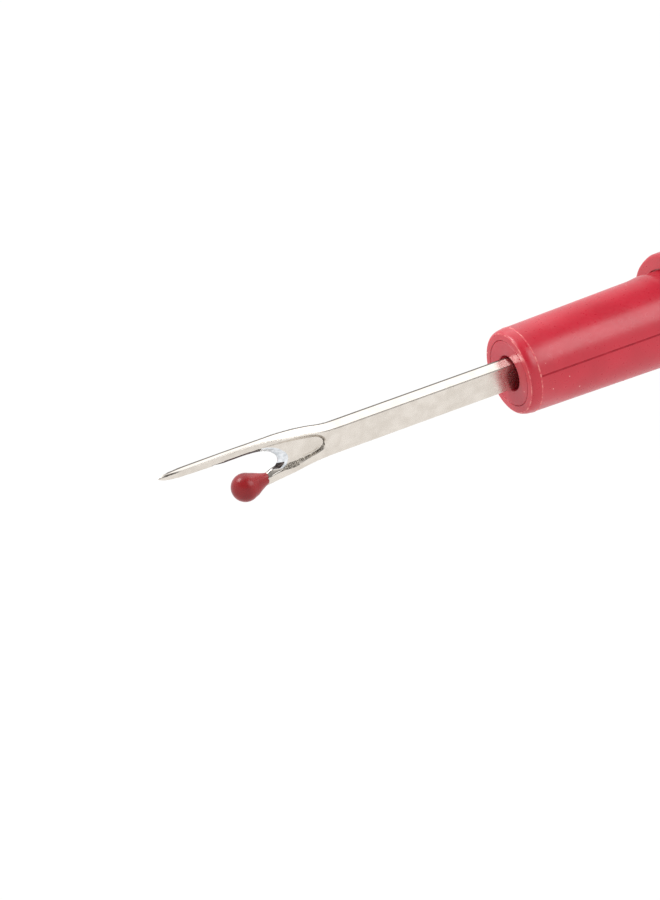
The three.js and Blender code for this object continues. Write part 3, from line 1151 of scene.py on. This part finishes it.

# %% Draw the two lines of painted shade as masks
FAR_DEPTHS = (0.25, 0.19)
NEAR_DEPTHS = (0.15, 0.10)
WIDER_AT_POINT = 0.10
FAR_LINE = [(0.0, 0.0), (0.012, 0.0), (0.03, 1.0), (1.0, 1.0)]
NEAR_LINE = [
    (0.0, 0.0),
    (0.012, 0.0),
    (0.02, 1.0),
    (share_along(-38.0), 1.0),
    (share_along(-37.0), 0.25),
    (share_along(-23.0), 0.25),
    (share_along(-21.5), 0.8),
    (1.0, 0.8),
]
is_far = reckon(tree, "GREATER_THAN", sideways, 0.0)
far_line = reckon(tree, "MULTIPLY", is_far, ramp(tree, lengthwise, FAR_LINE))
is_near = reckon(tree, "SUBTRACT", 1.0, is_far)
near_line = reckon(tree, "MULTIPLY", is_near, ramp(tree, lengthwise, NEAR_LINE))
far_edge_shade = reckon(tree, "MULTIPLY", far_line, ranged(tree, depth, *FAR_DEPTHS))
POINT_ZONE = [(0.0, 1.0), (share_along(-38.4), 1.0), (share_along(-37.0), 0.0), (1.0, 0.0)]
wider = reckon(tree, "MULTIPLY", ramp(tree, lengthwise, POINT_ZONE), WIDER_AT_POINT)
near_depth = reckon(tree, "SUBTRACT", depth, wider)
near_edge_shade = reckon(tree, "MULTIPLY", near_line, ranged(tree, near_depth, *NEAR_DEPTHS))
lines = reckon(tree, "MAXIMUM", far_edge_shade, near_edge_shade)
print("near line starts", NEAR_LINE[1][0], "along, far line", FAR_LINE[1][0])

# %% Material: top faces with painted edge shade
# Painted shade: a grey mixed into the base colour along the top's two edges. The top's tone is a
# little lighter than the sides', a painted highlight.
EDGE_SHADE_GREY = (0.15, 0.135, 0.12, 1)
tone = drifting(tree, position, (0.83, 0.78, 0.72, 1), (0.76, 0.71, 0.65, 1), 900.0)
tree.links.new(mixed(tree, lines, tone, EDGE_SHADE_GREY), shader.inputs["Base Color"])
gloss(tree, shader, position, 5000.0, 0.18, 0.28)

# %% [markdown]
# Along the long prong's underside and at the foot of the notch, the steel is painted dark
# brown: painted shade under the prong and a painted dark reflection in the curved bevel.

# %% Material: painted shade and dark reflection on the ground edge
painted_shade, tree, shader, position = new_material("painted_shade_nickel", Metallic=1.0)
tone = drifting(tree, position, (0.16, 0.13, 0.12, 1), (0.03, 0.027, 0.026, 1), 5000.0)
tree.links.new(tone, shader.inputs["Base Color"])
gloss(tree, shader, position, 6000.0, 0.35, 0.5)

# %% [markdown]
# The five finishes go on by place. A face that lies on the wall of a cutter was made by that
# cutter, so the distance to the cutter tells which finish a face has.

# %% Helpers that paint faces and tell where they lie
REACH = 0.045
SLOPE_LIMITS = (0.25, 0.97)


def paint(piece, finish, choose):
    """Gives a finish to the faces that pass the test."""
    select_by_place(piece, lambda co: False)
    bpy.ops.object.mode_set(mode="OBJECT")
    for face in piece.data.polygons:
        face.select = choose(face)
    bpy.ops.object.mode_set(mode="EDIT")
    bpy.ops.mesh.select_mode(type="FACE")
    piece.active_material_index = piece.data.materials.find(finish.name)
    bpy.ops.object.material_slot_assign()
    let_go()
    count = sum(face.material_index == piece.active_material_index for face in piece.data.polygons)
    print(f"{finish.name}: {count} faces")


def cutter_walls(cutter):
    """A test for whether a face was made by a sloping wall of a cutter."""
    walls = BVHTree.FromObject(cutter, bpy.context.evaluated_depsgraph_get())

    def made_by_wall(face):
        spot, wall_normal, _, _ = walls.find_nearest(face.center, REACH * MM)
        return spot is not None and SLOPE_LIMITS[0] < abs(wall_normal.y) < SLOPE_LIMITS[1]

    return made_by_wall


def up(face):
    return (face.center.z - AXIS_Z) / MM


def along(face):
    return length_of(face.center.x)


# %% Tell the blade's walls apart
TOP_LEAN = 0.3
LOWER_WALL_LEAN = 0.18
LOWER_WALL_SIDE = 0.55
LOWER_WALL_START = -24.6
REAR_SIDE = 0.48
REAR_START = -22.2
REAR_HEIGHT = 1.2
FOOT_SIDE = 0.28
FOOT_HEIGHTS = (-1.25, -0.66)
PRONG_TOP_HEIGHT = -1.28
BAND_HEIGHT = 1.6
BAND_END = -28.6
by_punch = cutter_walls(pocket_punch)
by_wheel = cutter_walls(notch_wheel)


def on_top(face):
    return face.normal.z > TOP_LEAN


def within(face, side):
    return abs(face.center.y) < side * MM


def on_lower_wall(face):
    deep = within(face, LOWER_WALL_SIDE)
    return face.normal.z > LOWER_WALL_LEAN and (deep or along(face) < LOWER_WALL_START)


def at_rear(face):
    return along(face) > REAR_START and up(face) < REAR_HEIGHT and within(face, REAR_SIDE)


def on_struck_wall(face):
    return by_punch(face) and (on_lower_wall(face) or at_rear(face))


def in_notch_foot(face):
    at_height = FOOT_HEIGHTS[0] < up(face) < FOOT_HEIGHTS[1]
    return by_wheel(face) and at_height and within(face, FOOT_SIDE)


def on_prong_top(face):
    return by_wheel(face) and up(face) <= PRONG_TOP_HEIGHT


def on_long_band(face):
    return by_wheel(face) and up(face) > BAND_HEIGHT and along(face) < BAND_END


# %% Give the blade its finishes
for finish in (nickel, top, struck, ground, painted_shade):
    blade.data.materials.append(finish)
# The up-facing faces take the top finish, with its painted edge shade and lighter tone.
paint(blade, top, on_top)
paint(blade, nickel, by_punch)
paint(blade, struck, on_struck_wall)
paint(blade, ground, by_wheel)
paint(blade, nickel, on_prong_top)
# The notch's foot and the long prong's underside take the painted shade and dark reflection.
paint(blade, painted_shade, in_notch_foot)
paint(blade, painted_shade, on_long_band)
throw_away(pocket_punch, notch_wheel, plan_plate)

# %% [markdown]
# ## Plastics
#
# The handle is a pinkish red moulding with a satin gloss, and carries a few specks of dust. The
# plugs are the same plastic from another batch. The bead is a deeper, clearer red, and glossy,
# because it dried from a liquid.


# %% Material: moulded red plastics
def moulded_red(name, light, dark, low, high):
    material, tree, shader, position = new_material(name, IOR=1.6)
    tone = drifting(tree, position, light, dark, 260.0)
    dust = put(tree, specks, position, Scale=850.0, Size=0.06, Share=0.55)
    colour = mixed(tree, dust.outputs["Mask"], tone, (0.88, 0.40, 0.36, 1))
    tree.links.new(colour, shader.inputs["Base Color"])
    skin = gloss(tree, shader, position, 2600.0, low, high)
    waves = noise(tree, position, 700.0, 2.0)
    bump(tree, shader, (waves, 0.10, 0.05), (skin.outputs["Height"], 0.04, 0.01))
    return material


handle_red = moulded_red(
    "handle_red", (0.58, 0.013, 0.035, 1), (0.52, 0.010, 0.029, 1), 0.26, 0.38
)

# %% [markdown]
# The rim's two edges carry pale dots of painted highlight, where the rounded edges catch the
# light. The parting line is the opposite, a groove that is painted darker, as painted shade.

# %% Materials: painted highlights on the rim edges and painted shade in the parting line
rim_highlight_red, tree, shader, position = new_material("rim_highlight_red")
# Pale dots mixed into the red stand for the edges' highlights.
beads = noise(tree, position, 2600.0, 2.0)
share = ranged(tree, beads, 0.42, 0.62)
tone = mixed(tree, share, (0.64, 0.05, 0.075, 1), (0.84, 0.24, 0.22, 1))
tree.links.new(tone, shader.inputs["Base Color"])
gloss(tree, shader, position, 2600.0, 0.3, 0.4)
# The parting line's darker, duller red is painted shade in its groove.
groove_shade_red, tree, shader, position = new_material("groove_shade_red", Specular_IOR_Level=0.15)
tone = drifting(tree, position, (0.44, 0.014, 0.03, 1), (0.32, 0.01, 0.022, 1), 900.0)
tree.links.new(tone, shader.inputs["Base Color"])
gloss(tree, shader, position, 2600.0, 0.4, 0.5)

# %% Materials of the two plugs, and where each finish goes
plug_red = moulded_red("plug_red", (0.54, 0.020, 0.042, 1), (0.47, 0.014, 0.034, 1), 0.34, 0.46)
tail_red = moulded_red("tail_red", (0.55, 0.016, 0.040, 1), (0.49, 0.012, 0.034, 1), 0.28, 0.40)
for finish in (handle_red, rim_highlight_red, groove_shade_red):
    handle.data.materials.append(finish)
plug.data.materials.append(plug_red)
tail.data.materials.append(tail_red)

# %% Tell the rim's edges and the groove from the rest
RIM_LINE_WIDTH = 0.13
RIM_EDGE_LENGTH = 0.08
BORDER = 0.1
PAINT_GAP = 0.2
LINE_MARGIN = 1.1


def spoke(face):
    return (face.center - place(along(face), 0, 0)).length / MM


def on_rim_line(face):
    past_face = spoke(face) - (NECK_RADIUS - RIM_DEPTH)
    edge_of_face = along(face) < RIM_EDGE_LENGTH and 0 < past_face < RIM_LINE_WIDTH
    behind_rim = along(face) - RIM_LENGTH
    crease = 0 < behind_rim < RIM_LINE_WIDTH and spoke(face) > NECK_RADIUS
    return edge_of_face or crease


def in_groove(face):
    outside = spoke(face) > NECK_RADIUS - BORDER
    on_neck = RIM_LENGTH + PAINT_GAP < along(face) < NECK_END and outside
    lean = abs((face.center - place(along(face), 0, 0)).normalized().dot(line_normal))
    return on_neck and lean > math.cos(LINE_MARGIN * LINE_WIDTH / NECK_RADIUS)


# The rim's edges take the painted highlight.
paint(handle, rim_highlight_red, on_rim_line)
# The parting line's groove takes the painted shade.
paint(handle, groove_shade_red, in_groove)

# %% [markdown]
# The bead's plastic dried from a liquid, so its surface is smoother than a moulding's. A thin
# clear coat over a deep red gives it that second, softer gloss.

# %% Material: dipped bead
bead_red, tree, shader, position = new_material(
    "bead_red", IOR=1.42, Coat_Weight=0.05, Coat_Roughness=0.16
)
tone = drifting(tree, position, (0.34, 0.014, 0.018, 1), (0.25, 0.008, 0.012, 1), 700.0)
tree.links.new(tone, shader.inputs["Base Color"])
skin = gloss(tree, shader, position, 1500.0, 0.24, 0.34)
bump(tree, shader, (skin.outputs["Height"], 0.08, 0.03))
bead.data.materials.append(bead_red)
print("materials:", ", ".join(material.name for material in bpy.data.materials))

# %% [markdown]
# ## Floor and light
#
# Small bright tools are lit in a tent of white cloth, so that the metal has something pale to
# reflect. The floor glows, as a light table does, so the tool casts no shadow. One long softbox
# stands at the front right, and its reflection is the highlight along the neck. A card just
# behind the blade is what its narrow top reflects, and a smaller softbox at the back left
# makes the bead's highlight.

# %% Lay the floor
FLOOR_GLOW_ON_TOOL = 0.93
FLOOR_GLOW_SEEN = 1.0
let_go()
bpy.ops.mesh.primitive_plane_add(size=3, location=(0, 0, -0.01 * MM))
floor = bpy.context.object
floor.name = "floor"
floor_white, tree, shader, position = new_material("floor_white", Roughness=0.9)
shader.inputs["Base Color"].default_value = (0.03, 0.03, 0.03, 1)
shader.inputs["Specular IOR Level"].default_value = 0.0
shader.inputs["Emission Color"].default_value = (1, 1, 1, 1)
rays = add(tree, "LightPath")
glow = ranged(tree, rays.outputs["Is Camera Ray"], 0.0, 1.0, FLOOR_GLOW_ON_TOOL, FLOOR_GLOW_SEEN)
tree.links.new(glow, shader.inputs["Emission Strength"])
floor.data.materials.append(floor_white)

# %% Hang the white cloth
world = bpy.data.worlds.new("white_tent")
bpy.context.scene.world = world
world.use_nodes = True
tree = world.node_tree
background = tree.nodes["Background"]
upward = add(tree, "SeparateXYZ")
tree.links.new(add(tree, "TexCoord").outputs["Generated"], upward.inputs["Vector"])
CLOTH_BANDS = [(0.0, 0.93), (0.48, 0.80), (0.60, 0.30), (0.85, 0.24), (1.0, 0.24)]
cloth = ramp(tree, upward.outputs["Z"], CLOTH_BANDS)
tree.links.new(cloth, background.inputs["Color"])
print("cloth:", CLOTH_BANDS[0][1], "below,", CLOTH_BANDS[-1][1], "above")


# %% Place the softboxes
def softbox(name, centre, tilt, width, height, level):
    """A long light lying along X. At no tilt it faces down, and a tilt turns it to the back."""
    data = bpy.data.lights.new(name, "AREA")
    data.shape = "RECTANGLE"
    data.size = width
    data.size_y = height
    data.energy = level * math.pi * width * height
    lamp = bpy.data.objects.new(name, data)
    lamp.location = centre
    lamp.rotation_euler = (math.radians(tilt), 0, 0)
    lamp.visible_camera = False
    bpy.context.scene.collection.objects.link(lamp)
    print(name, "at", [round(value, 3) for value in centre])


neck_middle = place(9, 0, 0)
blade_middle = place(-20, 0, 1.6)
bead_middle = place(-30, 0, -2.4)
softbox("key_softbox", neck_middle + Vector((0.135, -0.088, 0.180)), 26, 0.24, 0.15, 3.1)
softbox("blade_card", blade_middle + Vector((0.006, 0.020, 0.0193)), -46, 0.062, 0.03, 1.1)
softbox("back_softbox", bead_middle + Vector((-0.099, 0.158, 0.166)), -44, 0.10, 0.085, 10.0)

# %% [markdown]
# ## Join the pieces to the frame
#
# Nothing on this tool moves, so every piece rides on the one body. Each stands for its CAD node.

# %% Ride and replace
for piece, node, slot in (
    (blade, "blade", "blade_steel"),
    (bead, "ball_tip", "bead_plastic"),
    (plug, "blade_plug", "plug_plastic"),
    (handle, "handle", "handle_plastic"),
    (tail, "tail_plug", "tail_plastic"),
):
    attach(piece, "root")
    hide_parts(node)
    print(piece.name, "stands for", node)

# %% [markdown]
# Last comes one small thing. The Standard view shows the colours as they were set. And the
# finished pieces must lie inside the box of the CAD.

# %% Keep the plain tone scale
bpy.context.scene.view_settings.view_transform = "Standard"
print("view:", bpy.context.scene.view_settings.view_transform)
